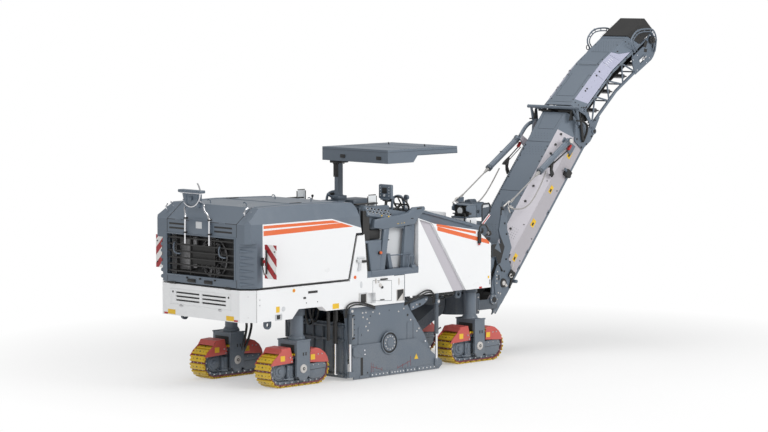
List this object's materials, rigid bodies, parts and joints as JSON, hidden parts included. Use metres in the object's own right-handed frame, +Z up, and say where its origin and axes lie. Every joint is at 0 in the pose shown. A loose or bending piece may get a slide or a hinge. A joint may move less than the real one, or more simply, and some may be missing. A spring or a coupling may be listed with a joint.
{
  "type": "cold planer milling machine",
  "caption": "Compact tracked cold planer: steered tracks, milling drum box, tilting hood, operator's stand under a canopy, slewing and folding discharge conveyor.",
  "frame": {"origin": "on the ground under the centre of the overall box", "axes": "+X forward towards the discharge end, +Y to the machine's left, +Z up"},
  "size_m": [11.2447, 3.026, 6.0739],
  "materials": {
    "white_paint": "satin",
    "slate_paint": "satin",
    "warm_grey_paint": "satin",
    "dark_steel": "matte",
    "bright_steel": "polished",
    "black_rubber": "matte",
    "hazard_red": "satin",
    "control_plastic": "matte",
    "seat_cover": "matte",
    "shoe_yellow": "worn"
  },
  "bodies": {
    "chassis": {"main_frame": "white_paint", "rear_bumper": "white_paint", "column_sleeves": "slate_paint", "engine_block": "dark_steel", "radiator_pack": "dark_steel", "station_base": "white_paint", "side_panels": "white_paint", "bulkhead": "slate_paint", "operator_floor": "slate_paint", "operator_consoles": "slate_paint", "side_pods": "slate_paint", "operator_controls": "control_plastic", "operator_seats": "seat_cover", "canopy_column": "slate_paint", "front_body": "white_paint", "front_lid": "slate_paint", "top_boxes": "white_paint", "slew_mount": "slate_paint", "primary_conveyor": "slate_paint", "drum_housing": "slate_paint", "plate_rams": "slate_paint", "tie_down_eyes_rear": "slate_paint", "tie_down_eyes_front": "slate_paint"},
    "hood": {"engine_hood": "white_paint", "rear_cowl": "slate_paint", "rear_grille": "dark_steel", "hazard_plates": "hazard_red"},
    "canopy": {"canopy_roof": "slate_paint", "canopy_post": "slate_paint"},
    "drum": {"milling_drum": "dark_steel"},
    "edge_plate_right": {"edge_plate_right": "slate_paint"},
    "edge_plate_left": {"edge_plate_left": "slate_paint"},
    "scraper": {"scraper_blade": "slate_paint"},
    "slew_console": {"slew_bracket": "slate_paint", "receiving_hopper": "slate_paint"},
    "lower_conveyor": {"conveyor_lower_frame": "warm_grey_paint", "conveyor_lower_cover": "slate_paint", "conveyor_lower_panels": "warm_grey_paint", "conveyor_lower_belt": "black_rubber"},
    "upper_conveyor": {"conveyor_upper_frame": "slate_paint", "conveyor_upper_cover": "slate_paint", "conveyor_upper_panels": "warm_grey_paint", "conveyor_upper_belt": "black_rubber", "head_hood": "black_rubber"},
    "stay_barrel_right": {"stay_cylinder_right": "slate_paint"},
    "stay_rope_right": {"stay_rod_right": "bright_steel"},
    "stay_barrel_left": {"stay_cylinder_left": "slate_paint"},
    "stay_rope_left": {"stay_rod_left": "bright_steel"},
    "track_rear_right": {"track_loop_rear_right": "shoe_yellow", "track_carrier_rear_right": "slate_paint"},
    "track_rear_left": {"track_loop_rear_left": "shoe_yellow", "track_carrier_rear_left": "slate_paint"},
    "track_front_right": {"track_loop_front_right": "shoe_yellow", "track_carrier_front_right": "slate_paint"},
    "track_front_left": {"track_loop_front_left": "shoe_yellow", "track_carrier_front_left": "slate_paint"}
  },
  "joints": [
    {"name": "drum_spin", "type": "hinge", "parent": "chassis", "child": "drum", "pos_m": [-2.2925, 0, 0.58], "axis": [0, 1, 0], "continuous": true},
    {"name": "conveyor_slew", "type": "hinge", "parent": "chassis", "child": "slew_console", "pos_m": [0.7775, 0, 1.03], "axis": [0, 0, 1], "range_deg": [-60, 60]},
    {"name": "conveyor_luff", "type": "hinge", "parent": "slew_console", "child": "lower_conveyor", "pos_m": [0.9775, 0, 1.03], "axis": [0, -1, 0], "range_deg": [-25, 5]},
    {"name": "conveyor_fold", "type": "hinge", "parent": "lower_conveyor", "child": "upper_conveyor", "pos_m": [3.7763, 0, 3.9851], "axis": [0, -1, 0], "range_deg": [-60, 7]},
    {"name": "hood_tilt", "type": "hinge", "parent": "chassis", "child": "hood", "pos_m": [-3.1025, 0, 2.925], "axis": [0, 1, 0], "range_deg": [0, 40]},
    {"name": "canopy_height", "type": "slide", "parent": "chassis", "child": "canopy", "axis": [0, 0, 1], "range_m": [-0.3, 0]},
    {"name": "edge_plate_right_lift", "type": "slide", "parent": "chassis", "child": "edge_plate_right", "axis": [0, 0, 1], "range_m": [0, 0.25]},
    {"name": "edge_plate_left_lift", "type": "slide", "parent": "chassis", "child": "edge_plate_left", "axis": [0, 0, 1], "range_m": [0, 0.25]},
    {"name": "scraper_lift", "type": "slide", "parent": "chassis", "child": "scraper", "axis": [0, 0, 1], "range_m": [0, 0.25]},
    {"name": "steer_rear_right", "type": "hinge", "parent": "chassis", "child": "track_rear_right", "pos_m": [-4.1795, -0.824, 0.78], "axis": [0, 0, 1], "range_deg": [-25, 25]},
    {"name": "steer_rear_left", "type": "hinge", "parent": "chassis", "child": "track_rear_left", "pos_m": [-4.1795, 0.824, 0.78], "axis": [0, 0, 1], "range_deg": [-25, 25]},
    {"name": "steer_front_right", "type": "hinge", "parent": "chassis", "child": "track_front_right", "pos_m": [0.0995, -0.824, 0.78], "axis": [0, 0, 1], "range_deg": [-25, 25]},
    {"name": "steer_front_left", "type": "hinge", "parent": "chassis", "child": "track_front_left", "pos_m": [0.0995, 0.824, 0.78], "axis": [0, 0, 1], "range_deg": [-25, 25]},
    {"name": "stay_hinge_right", "type": "hinge", "parent": "lower_conveyor", "child": "stay_barrel_right", "pos_m": [2.9755, -0.64, 3.8405], "axis": [0, -1, 0], "range_deg": [-11.38, 3.07]},
    {"name": "stay_reach_right", "type": "slide", "parent": "stay_barrel_right", "child": "stay_rope_right", "axis": [-0.8363, 0, -0.5483], "range_m": [-0.1407, 0.6636]},
    {"name": "stay_hinge_left", "type": "hinge", "parent": "lower_conveyor", "child": "stay_barrel_left", "pos_m": [2.9755, 0.64, 3.8405], "axis": [0, -1, 0], "range_deg": [-11.38, 3.07]},
    {"name": "stay_reach_left", "type": "slide", "parent": "stay_barrel_left", "child": "stay_rope_left", "axis": [-0.8363, 0, -0.5483], "range_m": [-0.1407, 0.6636]}
  ],
  "couplings": [
    {"joint": "steer_rear_left", "follows": "steer_rear_right", "ratio": 1},
    {"joint": "steer_front_left", "follows": "steer_front_right", "ratio": 1},
    {"joint": "stay_hinge_right", "follows": "conveyor_luff", "ratio": 0.415},
    {"joint": "stay_reach_right", "follows": "conveyor_luff", "m_per_rad": -1.498},
    {"joint": "stay_hinge_left", "follows": "conveyor_luff", "ratio": 0.415},
    {"joint": "stay_reach_left", "follows": "conveyor_luff", "m_per_rad": -1.498}
  ]
}
